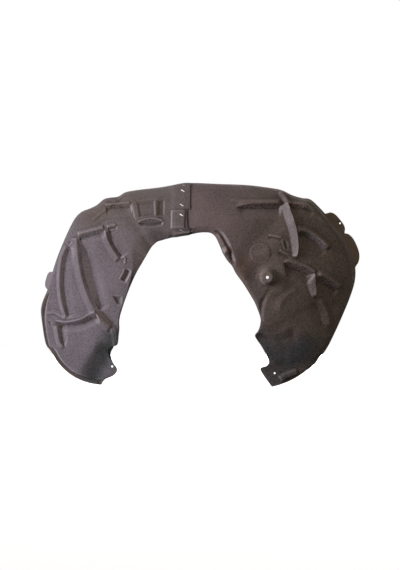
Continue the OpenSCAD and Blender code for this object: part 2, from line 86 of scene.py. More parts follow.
# %% Camera
MM = 0.001
PIXEL = 3 * MM
PICTURE = (400, 570)
BOSS_AT = (266.9, 277.4)
CAMERA_BACK = 9
CAMERA_ABOUT = 60 * MM
SENSOR = 36


def new_object(name, data):
    """An object in the scene that shows a camera, a lamp or a mesh."""
    made = bpy.data.objects.new(name, data)
    scene.collection.objects.link(made)
    return made


camera_data = bpy.data.cameras.new("camera")
camera_data.sensor_fit = "VERTICAL"
camera_data.sensor_height = SENSOR
camera_data.lens = SENSOR * CAMERA_BACK / (PICTURE[1] * PIXEL)
camera = new_object("camera", camera_data)
scene.camera = camera
camera.rotation_euler = (math.radians(90), 0, 0)
camera.location = (
    (PICTURE[0] / 2 - BOSS_AT[0]) * PIXEL,
    CAMERA_ABOUT - CAMERA_BACK,
    (BOSS_AT[1] - PICTURE[1] / 2) * PIXEL,
)
print("lens", round(camera_data.lens, 1), "mm")

# %% [markdown]
# ## Shader maths as plain Python
# A felt or steel finish is a sum of patterns. Wiring each sum by hand hides the idea, so one small class
# wraps a socket and gives it Python's operators: an expression such as 1 - mask adds its own Math nodes.
# Colours go through Mix nodes instead, because a Math node would turn them grey. Other nodes come from
# two methods, which take settings and the values or links of sockets: node gives all outputs, step gives
# one. Materials, the world and Geometry Nodes trees all use them.


# %% Signals, trees and finishes
def grey(value):
    return (value, value, value, 1)


class Signal:
    """One output socket of a tree, with operators for numbers."""

    def __init__(self, tree, socket):
        self.tree = tree
        self.socket = socket

    def _maths(self, operation, first, second, limited=False):
        settings = {"operation": operation, "use_clamp": limited}
        return self.tree.node("ShaderNodeMath", settings, {0: first, 1: second})["Value"]

    def __add__(self, other):
        return self._maths("ADD", self, other)

    __radd__ = __add__

    def __sub__(self, other):
        return self._maths("SUBTRACT", self, other)

    def __rsub__(self, other):
        return self._maths("SUBTRACT", other, self)

    def __mul__(self, other):
        return self._maths("MULTIPLY", self, other)

    def __truediv__(self, other):
        return self._maths("DIVIDE", self, other)

    def limited(self):
        return self._maths("ADD", self, 0, True)


class NodeTree:
    """A node tree, with short ways to add nodes of its family."""

    family = "ShaderNode"

    def __init__(self, tree):
        self.nodes = tree.nodes
        self.links = tree.links

    def node(self, kind, settings=None, inputs=None):
        """Adds a node: settings first, then values or links, and gives its outputs by name."""
        made = self.nodes.new(kind)
        for key, value in (settings or {}).items():
            setattr(made, key, value)
        for key, value in (inputs or {}).items():
            self.feed(made.inputs[key], value)
        return {s.name: Signal(self, s) for s in made.outputs if s.enabled}

    def feed(self, socket, value):
        if isinstance(value, Signal):
            self.links.new(value.socket, socket)
        else:
            socket.default_value = value

    def step(self, kind, output, inputs=None, **settings):
        """Adds a node of the tree's family and gives one of its outputs."""
        return self.node(self.family + kind, settings, inputs)[output]


class Finish(NodeTree):
    """A material with one Principled shader, built from signals."""

    def __init__(self, name, constants):
        self.material = bpy.data.materials.new(name)
        self.material.use_nodes = True
        super().__init__(self.material.node_tree)
        self.shader = self.nodes["Principled BSDF"]
        for socket, value in constants.items():
            self.shade(socket, value)

    def shade(self, socket, value):
        self.feed(self.shader.inputs[socket], value)

    def noise(self, place, scale, detail, roughness, stretch=None):
        """A grain of the given size, about its middle value of zero."""
        if stretch:
            place = self.step("Mapping", "Vector", {"Vector": place, "Scale": stretch})
        inputs = {"Vector": place, "Scale": scale, "Detail": detail, "Roughness": roughness}
        return self.step("TexNoise", "Fac", inputs) - 0.5

    def colours(self, mask, first, second, way="MIX"):
        """Mixes two colours by a mask."""
        inputs = {0: mask, 6: first, 7: second}
        return self.step("Mix", "Result", inputs, data_type="RGBA", blend_type=way)

    def bump(self, height, distance, below=None):
        inputs = {"Height": height, "Distance": distance, "Strength": 1}
        if below:
            inputs["Normal"] = below
        return self.step("Bump", "Normal", inputs)


print("finish tools ready")

# %% [markdown]
# ## Light
# The ribs of the real liner show because light comes from the viewer's left and only a little in front of
# the face. Slopes that look left are bright, and walls that look down or right are dark. One large lamp
# does that, a weak warm one fills from above, and one behind lights the wheel side for other views.
# The world is white only to the camera, to gloss and to glass, and gives a low even light to the rest.

# %% Lamps and world
LAMP_SIDE = 2
EVEN_LIGHT = 0.13


def lamp(name, place, power, colour, target=(-0.1, 0.1, 0)):
    """A square soft lamp that looks at the target."""
    data = bpy.data.lights.new(name, "AREA")
    data.size = LAMP_SIDE
    data.energy = power
    data.color = colour
    made = new_object(name, data)
    made.location = place
    made.rotation_euler = (Vector(target) - Vector(place)).to_track_quat("-Z", "Y").to_euler()


lamp("key lamp", (-3.15, -2.1, 0.85), 200, (0.95, 0.93, 1.0))
lamp("warm fill lamp", (0.5, -2.8, 2.2), 20, (1.0, 0.86, 0.72))
lamp("back lamp", (-0.2, 4.2, 0.5), 110, (1.0, 0.98, 0.95), (-0.2, 0.2, 0))

world = bpy.data.worlds.new("studio")
scene.world = world
world.use_nodes = True
sky = NodeTree(world.node_tree)
sky.nodes.clear()
ray = sky.node("ShaderNodeLightPath")
seen = (ray["Is Camera Ray"] + ray["Is Glossy Ray"] + ray["Is Transmission Ray"]).limited()
white = sky.step("Background", "Background", {"Color": grey(1), "Strength": 1})
around = {"Color": (0.95, 0.86, 0.76, 1), "Strength": EVEN_LIGHT}
around = sky.step("Background", "Background", around)
blend = sky.step("MixShader", "Shader", {0: seen, 1: around, 2: white})
sky.node("ShaderNodeOutputWorld", {}, {"Surface": blend})
scene.view_settings.view_transform = "Standard"

# %% [markdown]
# ## The layout of the press mould
# On the real liner one steel mould presses both sections, so one layout describes both. It is written in
# millimetres, seen from the front. Stations run along the arch from the front tip, 0, to the rear tip.
# At each station there is a point on the edge of the cut-out, a point on the shoulder where the face
# turns into the barrel, and a cross-section between them. The part's source holds the same layout.

# %% Edges and cross-sections
LAST_STATION = 54.75
CAD_COLUMN = LAST_STATION / 91
SEAM_STATION = 44.7 * CAD_COLUMN
LAP_STATION = 42 * CAD_COLUMN
# Station, x, z.
CUT_OUT_EDGE = [
    [0, -496, -321], [1, -486, -303], [2, -461, -290], [3, -449, -272], [4, -460, -252], [5, -465, -228],
    [6, -453, -207], [7, -445, -185], [8, -441, -155], [9, -441, -128], [10, -433, -95], [12, -412, -36],
    [14, -392, 10], [16, -374, 42], [18, -360, 66], [20, -346, 89], [21, -338, 98], [22, -328, 106],
    [23, -316, 110], [24, -298, 115], [26, -255, 123], [27, -229, 127], [28, -210, 132], [29, -189, 134],
    [30, -169, 132], [31, -155, 121], [32, -144, 99], [33, -133, 73], [34, -120, 51], [35, -105, 33],
    [36, -94, 12], [38, -71, -20], [40, -47, -59], [41, -36, -79], [42, -28, -101], [43, -23, -123],
    [44, -22, -143], [45, -28, -160], [46, -37, -173], [47, -31, -188], [48, -18, -206], [50, 5, -249],
    [51, 0, -264], [52, -18, -271], [53, -16, -284], [54.75, 15, -328],
]
SHOULDER = [
    [0, -649, -216], [1, -660, -205], [2, -667, -182], [4, -676, -122], [5, -677, -95], [6, -672, -71],
    [8, -655, -24], [10, -639, 34], [12, -613, 103], [14, -580, 172], [15, -558, 195], [16, -531, 206],
    [17, -511, 216], [18, -490, 233], [19, -471, 238], [20, -447, 241], [21, -427, 253], [22, -399, 259],
    [24, -321, 268], [25, -282, 275], [26, -249, 281], [27, -228, 281], [28, -207, 281], [30, -141, 278],
    [32, -57, 275], [34, 21, 265], [35, 48, 258], [36, 75, 244], [37, 105, 235], [38, 129, 231],
    [39, 152, 211], [40, 179, 181], [41, 205, 148], [42, 229, 117], [43, 248, 82], [44, 261, 43],
    [45, 264, 1], [46, 256, -39], [48, 227, -114], [50, 187, -200], [51, 168, -231], [52, 154, -244],
    [53, 142, -262], [54, 133, -271], [54.75, 123, -277],
]
# Station, width and depth of the return at the cut-out, slope of the face there and at the shoulder,
# angle where the shoulder's arc starts and its radius, draft, how far back, how far the rim stops short.
SECTIONS = [
    [0, 0.5, 0, 4, 10, 55, 14, 3, 16, 70],
    [4, 0.5, 1, 5, 14, 55, 14, 4, 4, 45],
    [6, 3, 9, 6, 18, 55, 14, 5, 0, 23],
    [9, 4, 14, 6, 22, 48, 18, 7, 0, 5],
    [12, 4, 14, 6, 24, 34, 26, 7, 0, 0],
    [14.5, 20, 5, 6, 24, 30, 26, 7, 0, 0],
    [17, 56, 6, 8, 24, 32, 26, 7, 0, 0],
    [20, 46, 7, 8, 28, 38, 28, 7, 0, 0],
    [24, 25, 10, 8, 32, 40, 34, 7, 0, 0],
    [30, 17, 8, 8, 34, 38, 46, 7, 0, 0],
    [34, 14, 6, 8, 34, 38, 46, 8, 0, 0],
    [38, 12, 6, 8, 34, 38, 40, 10, 0, 0],
    [42, 6, 6, 9, 38, 44, 36, 12, 0, 0],
    [46, 1, 1, 10, 40, 44, 40, 12, 4, 7],
    [50, 0.5, 0, 9, 34, 38, 38, 10, 18, 23],
    [54.75, 0.5, 0, 6, 24, 30, 30, 8, 42, 60],
]
END_BOW = [[0, 27], [2.5, 9], [4.5, 0], [52, 0], [54.75, -7]]
# First and last station of each tab on the rim, and its reach.
RIM_TABS = [[7.3, 9.25, 15], [39.9, 41.87, 24], [41.83, 44.4, 23]]
BARREL_DEPTH = 285
FACE_BACK = 10
RIM_LIP = 3
FELT = 3
LAP_CLEAR = 0.3
print("stations", len(SHOULDER), "sections", len(SECTIONS))

# %% [markdown]
# ## Steps, ribs and recesses
# The pressed shapes are walls between a higher and a lower area. Each wall is two lines, its crest and its
# foot, with the high side on the left of their direction, so a wall may widen like the wedges on the real
# face. Ribs, recesses and pads are simpler. Adding their heights gives one relief for the whole face.

# %% Relief layout
# Crest, foot, height, run-out above and below, fade at the start and the end, share that stands up.
WALLS = [
    # Long curved steps down the front leg
    [[[-441, 52], [-462, 82], [-477, 111], [-483, 141]], [[-433, 61], [-452, 86], [-465, 111], [-470, 145]],
     12, 22, 34, 8, 5, 0.5],
    [[[-466, -153], [-486, -135], [-509, -110], [-528, -78], [-545, -36], [-557, 6], [-566, 57], [-572, 122]],
     [[-458, -140], [-477, -121], [-498, -97], [-518, -71], [-536, -32], [-548, 6], [-557, 57], [-563, 119]],
     8, 24, 46, 8, 9, 0.8],
    [[[-502, -104], [-518, -71], [-536, -32], [-548, 6], [-557, 57], [-563, 119]],
     [[-494, -96], [-505, -66], [-513, -30], [-524, 8], [-534, 50], [-554, 100]], 8.5, 20, 34, 14, 40, 0.1],
    [[[-600, -122], [-610, -95], [-619, -53], [-622, -2], [-616, 57], [-599, 99]],
     [[-592, -122], [-599, -97], [-607, -57], [-611, -8], [-606, 46], [-594, 90]], 9, 14, 26, 6, 12, 0.5],
    # Upper edges of the panels between them
    [[[-567, 128], [-526, 139], [-488, 148]], [[-562, 118], [-526, 127], [-486, 136]], 11, 14, 20, 3, 3, 0.5],
    [[[-480, 150], [-466, 154], [-448, 156]], [[-480, 141], [-463, 147], [-446, 151]], 7, 10, 14, 4, 8, 0.5],
    [[[-388, 163], [-368, 172], [-341, 176], [-317, 170], [-308, 167]],
     [[-388, 161], [-366, 160], [-341, 160], [-318, 164], [-306, 165]], 9, 6, 12, 10, 8, 0.4],
    [[[-528, 166], [-480, 206], [-424, 254]], [[-525, 163], [-477, 203], [-420, 251]],
     1.4, 12, 12, 14, 4, 0.5],
    [[[-487, 217], [-445, 221], [-409, 225]], [[-485, 207], [-445, 210], [-409, 212]], 8, 5, 26, 6, 3, 0.4],
    # Cross step low on the front leg, its drop and the wedge below it
    [[[-662, -110], [-640, -106], [-622, -114], [-601, -123], [-560, -118], [-520, -102]],
     [[-662, -114], [-640, -110], [-622, -118], [-601, -127], [-560, -122], [-518, -106]],
     3, 12, 10, 6, 4, 0.5],
    [[[-640, -128], [-603, -135], [-562, -126], [-533, -113], [-512, -104]],
     [[-640, -130], [-603, -140], [-562, -140], [-533, -129], [-507, -118]],
     15, 8, 22, 34, 3, 0.35],
    [[[-606, -209], [-620, -196], [-627, -166], [-631, -142]],
     [[-604, -208], [-610, -196], [-614, -171], [-617, -143]], 10, 16, 18, 10, 6, 0.5],
    # Gutter inside the outline of the front leg
    [[[-648, -40], [-658, -70], [-663, -99], [-664, -129], [-660, -162], [-651, -202], [-637, -212],
      [-618, -243], [-595, -268], [-567, -287], [-534, -298], [-505, -303], [-488, -303]],
     [[-651, -41], [-661, -71], [-666, -99], [-667, -129], [-663, -163], [-654, -204], [-639, -215],
      [-620, -246], [-597, -271], [-568, -290], [-535, -301], [-505, -306], [-488, -306]],
     4, 10, 20, 20, 12, 0],
    # Slot beside the cut-out, and the hollow down to the front tip
    [[[-441, -7], [-432, 11], [-424, 28]], [[-430, -14], [-420, 4], [-412, 22]], 11, 5, 8, 3, 3, 0.2],
    [[[-569, -302], [-545, -258], [-518, -215], [-500, -172]],
     [[-515, -302], [-490, -250], [-465, -203], [-452, -164]], 15, 50, 70, 24, 34, 0.25],
    # Step at the lower edge of the lap
    [[[-296, 124], [-262, 131], [-228, 136], [-220, 137]],
     [[-296, 120], [-262, 127], [-228, 132], [-220, 133]], 5, 6, 10, 4, 3, 0.4],
    # Step under the crown of the rear section, on both sides of the long rib
    [[[-98, 211], [-60, 219], [-10, 222], [42, 222]], [[-98, 209], [-56, 209], [7, 209], [44, 212]],
     13, 20, 34, 30, 3, 0.5],
    [[[66, 222], [105, 221], [128, 214], [151, 200]], [[66, 213], [105, 209], [130, 204], [151, 197]],
     9, 12, 30, 5, 14, 0.5],
    # Long rib down the rear section and its head at the shoulder
    [[[56, 226], [65, 206], [76, 174], [86, 140], [90, 109], [91, 81], [86, 56]],
     [[38, 222], [44, 203], [53, 174], [63, 142], [70, 111], [74, 83], [75, 60]], 15, 5, 10, 9, 8, 0.97],
    [[[40, 262], [56, 238], [68, 218]], [[26, 258], [44, 236], [56, 214]], 8, 12, 16, 8, 3, 0.9],
    # Curved steps of the rear section, and the short rib between the lower two
    [[[92, 139], [117, 137], [145, 123], [170, 103], [189, 84]],
     [[94, 128], [116, 126], [141, 110], [164, 90], [184, 68]], 14, 22, 34, 3, 12, 0.7],
    [[[48, 45], [71, 46], [100, 38], [133, 24], [150, 13]],
     [[48, 43], [69, 31], [93, 24], [122, 12], [140, 3]], 15, 12, 40, 10, 10, 0.25],
    [[[146, 10], [179, -1], [207, -18], [226, -34]], [[148, -4], [174, -17], [198, -31], [220, -46]],
     14, 22, 38, 18, 12, 0.55],
    [[[142, 11], [143, -14], [144, -36], [147, -64]], [[118, 11], [120, -12], [124, -38], [134, -64]],
     11, 4, 10, 3, 12, 0.97],
    # Small steps above the boss
    [[[3, 126], [24, 123], [46, 117]], [[3, 122], [24, 119], [46, 113]], 4, 9, 12, 4, 4, 0.5],
    [[[54, 82], [47, 110]], [[60, 82], [53, 111]], 5, 6, 8, 4, 4, 0.4],
    [[[36, 82], [72, 64]], [[34, 77], [70, 57]], 5, 8, 12, 5, 8, 0.5],
    # Soft steps towards the rear tip
    [[[155, -62], [168, -86], [180, -112], [188, -154]], [[138, -68], [153, -94], [163, -118], [171, -156]],
     7, 22, 34, 16, 18, 0.6],
    [[[-34, -161], [-10, -166], [20, -171], [49, -162], [83, -146]],
     [[-30, -168], [-10, -176], [18, -187], [49, -184], [86, -170]], 5, 26, 70, 16, 24, 0.2],
]
# Line, height, half width of the top and of the foot, fade at the start and the end.
RIBS = [
    [[[-437, 55], [-430, 63], [-424, 54], [-425, 40]], 2.2, 0.5, 4.5, 4, 5],
    [[[-601, 106], [-595, 96], [-580, 106]], 1.6, 0.5, 4, 3, 5],
    [[[-463, -146], [-455, -175], [-452, -210]], 4, 4, 12, 10, 8],
    [[[-652, -36], [-669, -70], [-676, -99], [-676, -129], [-671, -162], [-661, -204], [-647, -218],
      [-626, -254], [-600, -279], [-567, -303], [-534, -314], [-505, -318]], 5, 1, 11, 20, 8],
    [[[32, -112], [35, -89], [46, -66], [68, -47], [94, -32]], 2.5, 1, 16, 20, 15],
    [[[80, -140], [78, -190]], -2.5, 1, 20, 18, 18],
    [[[46, -232], [47, -272]], -2.5, 1, 22, 18, 14],
    [[[36, -308], [53, -297], [74, -289], [96, -283]], 6, 5, 14, 8, 12],
    [[[-21, -143], [-19, -90], [-6, -54], [12, -27]], -4, 1, 10, 15, 10],
    [[[-162, 141], [-140, 130], [-126, 111], [-115, 88], [-107, 62], [-99, 34]], -6, 1, 8, 16, 16],
    [[[-114, 64], [-103, 49]], -4, 1, 9, 5, 5],
    [[[-115, 233], [-56, 229], [-10, 226], [36, 226]], 2, 1, 9, 10, 4],
    [[[150, 186], [213, 141], [246, 100]], 2.5, 1, 10, 20, 20],
]
# Corners clockwise, depth, width of the wall at each side, from the first corner on.
RECESSES = [
    [[[-500, 219], [-405, 227], [-393, 165], [-517, 156]], 3, [11, 4, 18, 40]],
    [[[-392, 229], [-337, 236], [-334, 183], [-384, 177]], 3.2, [9, 5, 7, 6]],
    [[[-331, 232], [-307, 234], [-307, 184], [-332, 182]], 3.5, [7, 6, 8, 9]],
    [[[-662, -126], [-643, -131], [-650, -150]], 3, [6, 6, 6]],
    [[[-464, -54], [-433, -56], [-435, -84], [-450, -82]], 8, [4, 8, 8, 7]],
    # The raised box over the seam
    [[[-288, 202], [-238, 202], [-235, 143], [-289, 143]], -4, [5, 4, 6, 3.5]],
]
# Centre, radius, height, width of the wall.
PADS = [
    [[-22, 72], 33, 1.7, 4],
    [[-122, 80], 16, 9, 13],
    # Dent at the end of the upper step
    [[-431.5, 46], 4, -3, 3],
]
# Corner radius of the walls. Walls wider than the second value are rounded more.
CREST_RADIUS = 1.4
WIDE_WALL = 26
# Dark marks, which are painted shade in hollows, beside walls and under the lap's edge, and partly damp
# and partly painted shade at the two tips: line, reach and strength.
DAMP_AND_SHADE_MARKS = [
    [[[-462, -190], [-478, -214], [-496, -243], [-518, -280], [-528, -300]], 60, 1.3],
    [[[-452, -190], [-458, -275], [-490, -312]], 62, 0.7],
    [[[-20, -218], [45, -235], [110, -222]], 90, 1.2],
    [[[-35, -15], [-22, -60], [-12, -110]], 45, 0.35],
    [[[-437, -60], [-440, -78]], 14, 0.5],
    [[[-320, 226], [-320, 190]], 20, 0.15],
    [[[0, -300], [60, -295]], 70, 0.8],
    [[[-241, 198], [-241, 152]], 12, 0.3],
    [[[-288, 120], [-262, 123], [-228, 128]], 6, 1.2],
]
# Brown strips of painted shade, most of them along the outline: line, reach and strength.
BROWN_SHADE_STRIPS = [
    [[[-672, -60], [-682, -90], [-684, -125], [-681, -160], [-671, -206], [-650, -234],
      [-626, -268], [-598, -292], [-566, -311], [-520, -322], [-490, -318]], 12, 1],
    [[[62, -308], [120, -282], [160, -255]], 7, 1],
    [[[-321, 226], [-321, 188]], 11, 1],
    [[[-74, 50], [-62, 4]], 13, 1],
    [[[-80, 40], [-10, -50]], 36, 0.4],
    [[[-500, 192], [-400, 200]], 50, 0.42],
    [[[-466, -146], [-496, -116]], 13, 1],
]
print("walls", len(WALLS), "ribs", len(RIBS), "recesses", len(RECESSES))

# %% [markdown]
# ## From layout to height
# The distance to a line, with its sign, is all that a wall needs: between crest and foot the height falls
# from one level to the other, and beyond them it runs out gently. The arrays hold a whole sheet at once,
# so the relief of a hundred thousand points takes about a second.


# %% Curves and distances
def ease(t):
    t = np.clip(t, 0, 1)
    return t * t * (3 - 2 * t)


def soft_corner(d, radius):
    inside = (d + radius) ** 2 / (4 * np.maximum(radius, 1e-6))
    return np.where(d <= -radius, 0, np.where(d >= radius, d, inside))


def ramp(d, width):
    """Rises from 0 to 1 over the width, with a small radius at its foot and its top."""
    radius = np.minimum(np.maximum(CREST_RADIUS, (width - WIDE_WALL) / 2), width / 2)
    return (soft_corner(d + width / 2, radius) - soft_corner(d - width / 2, radius)) / width


def smooth_curve(table, station):
    """A smooth curve through the rows of a table, read at each station."""
    rows = np.asarray(table, float)
    slope = np.zeros_like(rows)
    slope[1:-1] = (rows[2:] - rows[:-2]) / (rows[2:, :1] - rows[:-2, :1])
    k = np.clip(np.searchsorted(rows[:, 0], station, side="right") - 1, 0, len(rows) - 2)
    span = (rows[k + 1, 0] - rows[k, 0])[..., None]
    s = (station[..., None] - rows[k, 0][..., None]) / span
    start = (2 * s**3 - 3 * s**2 + 1) * rows[k] + (s**3 - 2 * s**2 + s) * span * slope[k]
    end = (3 * s**2 - 2 * s**3) * rows[k + 1] + (s**3 - s**2) * span * slope[k + 1]
    return start + end


def beside(line, x, z):
    """Distance from a line, positive on its left, the way along it, and its length."""
    nearest = np.full(x.shape, 1e9)
    signed = np.zeros_like(x)
    way = np.zeros_like(x)
    run = 0
    for (x0, z0), (x1, z1) in zip(line[:-1], line[1:]):
        dx, dz = x1 - x0, z1 - z0
        length = math.hypot(dx, dz)
        t = ((x - x0) * dx + (z - z0) * dz) / length**2
        held = np.clip(t, 0, 1)
        ex, ez = x - x0 - held * dx, z - z0 - held * dz
        distance = np.hypot(ex, ez)
        closer = distance < nearest
        nearest = np.where(closer, distance, nearest)
        signed = np.where(closer, np.sign(dx * ez - dz * ex) * distance, signed)
        way = np.where(closer, run + t * length, way)
        run += length
    return signed, way, run


def faded(way, length, fade_in, fade_out):
    return ease(way / fade_in) * ease((length - way) / fade_out)


# %% Smooth lines
SMOOTH_PARTS = 4


def smooth_line(points):
    """The same line with more points, bent smoothly through the given ones."""
    if len(points) < 3:
        return points
    table = [[i, *point] for i, point in enumerate(points)]
    steps = np.linspace(0, len(points) - 1, (len(points) - 1) * SMOOTH_PARTS + 1)
    return smooth_curve(table, steps)[:, 1:].tolist()


SMOOTH_WALLS = [[smooth_line(wall[0]), smooth_line(wall[1])] + wall[2:] for wall in WALLS]
SMOOTH_RIBS = [[smooth_line(rib[0])] + rib[1:] for rib in RIBS]


# %% Relief of the face
def wall_height(x, z, crest, foot, step, above, below, fade_in, fade_out, share):
    from_crest, way, length = beside(crest, x, z)
    from_foot = beside(foot, x, z)[0]
    width = np.maximum(from_foot - from_crest, 0.5)
    side = ramp((from_crest + from_foot) / 2, width)
    up = step * share * (1 - ease(np.maximum(from_crest, 0) / above))
    down = step * (share - 1) * (1 - ease(np.maximum(-from_foot, 0) / below))
    return (down + (up - down) * side) * faded(way, length, fade_in, fade_out)


def rib_height(x, z, line, rise, top, foot, fade_in, fade_out):
    signed, way, length = beside(line, x, z)
    side = 1 - ramp(np.abs(signed) - (top + foot) / 2, foot - top)
    return rise * side * faded(way, length, fade_in, fade_out)


def recess_height(x, z, corners, depth, walls):
    share = np.ones_like(x)
    for (x0, z0), (x1, z1), wall in zip(corners, corners[1:] + corners[:1], walls):
        dx, dz = x1 - x0, z1 - z0
        inside = (dz * (x - x0) - dx * (z - z0)) / math.hypot(dx, dz)
        share = np.minimum(share, ramp(inside - wall / 2, wall))
    return -depth * share


def pad_height(x, z, centre, radius, rise, wall):
    return rise * ramp(radius - np.hypot(x - centre[0], z - centre[1]) - wall / 2, wall)


def relief(x, z):
    """Height of the pressed shapes at points of the layout. Each shape is worked out only near its lines."""
    height = np.zeros_like(x)
    shapes = [(wall_height, w, w[0] + w[1], max(w[3], w[4])) for w in SMOOTH_WALLS]
    shapes += [(rib_height, r, r[0], r[3]) for r in SMOOTH_RIBS]
    shapes += [(recess_height, r, r[0], 0) for r in RECESSES]
    shapes += [(pad_height, q, [q[0]], q[1]) for q in PADS]
    for rule, shape, points, reach in shapes:
        low, high = np.min(points, 0) - reach, np.max(points, 0) + reach
        near = (x > low[0]) & (x < high[0]) & (z > low[1]) & (z < high[1])
        if near.any():
            height[near] += rule(x[near], z[near], *shape)
    return height


print("relief at the long rib", round(float(relief(np.array([90.0]), np.array([110.0]))[0]), 1), "mm")

# %% [markdown]
# ## A sheet of felt
# Each section is lofted along its stations: a return at the cut-out, the face, an arc, the barrel and a lip
# at the rim. Two surfaces one felt apart make the closed wall, so the back shows every rib as a hollow, as
# pressed felt does. A Solidify modifier would be shorter, but it can't keep the lapped sheets apart.

# %% Boss seat and widths
BOSS_SEAT = (24, 0.17, 0.2)
BOSS_R = 17
BOSS_TAPER = 11
FILLET_RISE = 3
FILLET_REACH = 9
PATCH_FLAT = 38
PATCH_END = 78
STEADY = (-2, -1, 0, 1, 2)
SEAT_SLANT = math.sqrt(1 + BOSS_SEAT[1] ** 2 + BOSS_SEAT[2] ** 2)


def boss_foot(x, z, back=0):
    """Radius at which the boss's cone meets its slanted seat, in the direction of a point."""
    r = np.maximum(np.hypot(x, z), 1e-6)
    fall = (BOSS_SEAT[1] * x + BOSS_SEAT[2] * z) / r
    spread = BOSS_TAPER / BOSS_SEAT[0]
    y = (BOSS_SEAT[0] + back + fall * BOSS_R) / (1 - fall * spread)
    return BOSS_R + spread * y, y


def boss_patch(x, z, row):
    """How far each point belongs to the flat patch round the boss, and the depth of that patch."""
    from_hole = np.hypot(x, z)
    share = np.where(row < 3, ease((PATCH_END - from_hole) / (PATCH_END - PATCH_FLAT)), 0)
    fillet = 1 - np.clip((from_hole - boss_foot(x, z)[0]) / FILLET_REACH, 0, 1)
    return share, BOSS_SEAT[0] + BOSS_SEAT[1] * x + BOSS_SEAT[2] * z - FILLET_RISE * fillet**2


def face_width(u):
    across = smooth_curve(SHOULDER, u)[..., 1:] - smooth_curve(CUT_OUT_EDGE, u)[..., 1:]
    return np.linalg.norm(across, axis=-1)


def steadied_width(u):
    """Width of the face averaged over a few stations, so corners of the cut-out don't crease the face."""
    return sum(face_width(np.clip(u + k, 0, LAST_STATION)) for k in STEADY) / len(STEADY)


# %% Cross-section
BARREL_LEAN = math.radians(87)
LIP_LEAN = math.radians(45)


def rim_tab_reach(u):
    reach = np.zeros_like(u)
    for first, last, longest in RIM_TABS:
        inside = (u > first) & (u < last)
        off_middle = np.abs(2 * (u - first) / (last - first) - 1)
        reach += inside * longest * np.sqrt(np.clip(1 - off_middle**3, 0, 1))
    return reach


def cross_section(u, row, width):
    """Way from the edge of the cut-out, depth and lean of the felt at stations and rows."""
    section = np.moveaxis(smooth_curve(SECTIONS, u), -1, 0)[1:]
    back_w, back_d, slope_in, slope_out, arc_from, radius, draft, stand_back, short = section
    tan_in, tan_out = np.tan(np.radians(slope_in)), np.tan(np.radians(slope_out))
    arc_from = np.radians(arc_from)
    stage = np.minimum(np.floor(row), 4)
    part = row - stage
    face_end = width - radius * (1 - np.sin(arc_from))
    face_w = face_end - back_w
    face_depth = face_w * (tan_in + tan_out) / 2
    stand_back = stand_back + (steadied_width(u) - width) * (tan_in + tan_out) / 2
    along = face_w * part
    slope = np.arctan(tan_in + (tan_out - tan_in) * part)
    angle = arc_from + (np.pi / 2 - arc_from) * part
    arc_depth = face_depth + radius * np.cos(arc_from)
    rim = BARREL_DEPTH - short - FACE_BACK - stand_back
    back_lean = -np.arctan2(back_d, back_w)
    stages = [stage == k for k in range(5)]
    way = np.select(stages, [
        back_w * part,
        back_w + along,
        face_end + radius * (np.sin(angle) - np.sin(arc_from)),
        width + draft * part,
        width + draft + (RIM_LIP + rim_tab_reach(u)) * part,
    ])
    depth = np.select(stages, [
        back_d * (1 - part),
        tan_in * along + (tan_out - tan_in) * along * part / 2,
        face_depth + radius * (np.cos(arc_from) - np.cos(angle)),
        arc_depth + (rim - arc_depth) * part,
        rim,
    ])
    lean = np.select(stages, [
        back_lean,
        np.where(part == 0, (slope + back_lean) / 2, slope),
        angle,
        BARREL_LEAN + 0 * part,
        LIP_LEAN * (1 - part),
    ])
    return way, FACE_BACK + depth + stand_back, lean


# %% Loft
PRESSED_EDGE = 9
PINCH = 0.45
ROWS = {"return": 4, "face": 96, "arc": 11, "barrel": 9, "lip": 2}


def row_numbers():
    rows = []
    for stage, count in enumerate(ROWS.values()):
        rows += [stage + i / count for i in range(count)]
    return np.array(rows + [len(ROWS)], float)


def loft(u, row, lap_lift):
    """Outer and wheel surfaces in millimetres at stations and rows, with their layout points."""
    edge = smooth_curve(CUT_OUT_EDGE, u)[..., 1:]
    across = smooth_curve(SHOULDER, u)[..., 1:] - edge
    width = np.linalg.norm(across, axis=-1)
    across = across / width[..., None]
    way, base, lean = cross_section(u, row, width)
    share = np.clip(way / width, 0, 1)
    bow = np.interp(u, [r[0] for r in END_BOW], [r[1] for r in END_BOW]) * 4 * share * (1 - share)
    flat_x = edge[..., 0] + across[..., 0] * way - across[..., 1] * bow
    flat_z = edge[..., 1] + across[..., 1] * way + across[..., 0] * bow
    pressed = relief(flat_x, flat_z) * np.where(row < 2, 1, 1 - ease(row - 2))
    patch, seat = boss_patch(flat_x, flat_z, row)
    pinch = PINCH * (1 - ease(np.minimum(way, 4 * PRESSED_EDGE) / PRESSED_EDGE)) * (row < 2)
    surfaces = []
    for offset in (-pinch * FELT / 2, -FELT + pinch * FELT / 2):
        height = pressed + lap_lift(u) + offset
        x = flat_x + across[..., 0] * height * np.sin(lean)
        z = flat_z + across[..., 1] * height * np.sin(lean)
        y = base - height * np.cos(lean)
        seat_y = seat - offset * SEAT_SLANT
        surface = [x + (flat_x - x) * patch, y + (seat_y - y) * patch, z + (flat_z - z) * patch]
        surfaces.append(np.stack(surface, -1))
    return surfaces, flat_x, flat_z, way


# %% Facts for the felt
FACT_REACH = 2.5
# Creases are painted darker down to this value, as painted shade.
CREASE = -0.25
FAR_FROM_EDGE = 100
# Where each fact starts and how much more makes it full: slopes down, right and left, station, share.
DOWN = (0.3, 0.4)
RIGHT = (0.1, 0.2)
LEFT = (0.25, 0.4)
TURNED = (12, 3)
NEAR_SHOULDER = (0.68, 0.16)


def grown(value, start, rest):
    return ease((value - start) / rest)


def marks(table, x, z, solid):
    """Strength of the marks of a table, full up to the given share of their reach."""
    strongest = 0
    for line, reach, strength in table:
        near = 1 - ease(np.abs(beside(line, x, z)[0]) / reach - solid)
        strongest = np.maximum(strongest, strength * near)
    return strongest


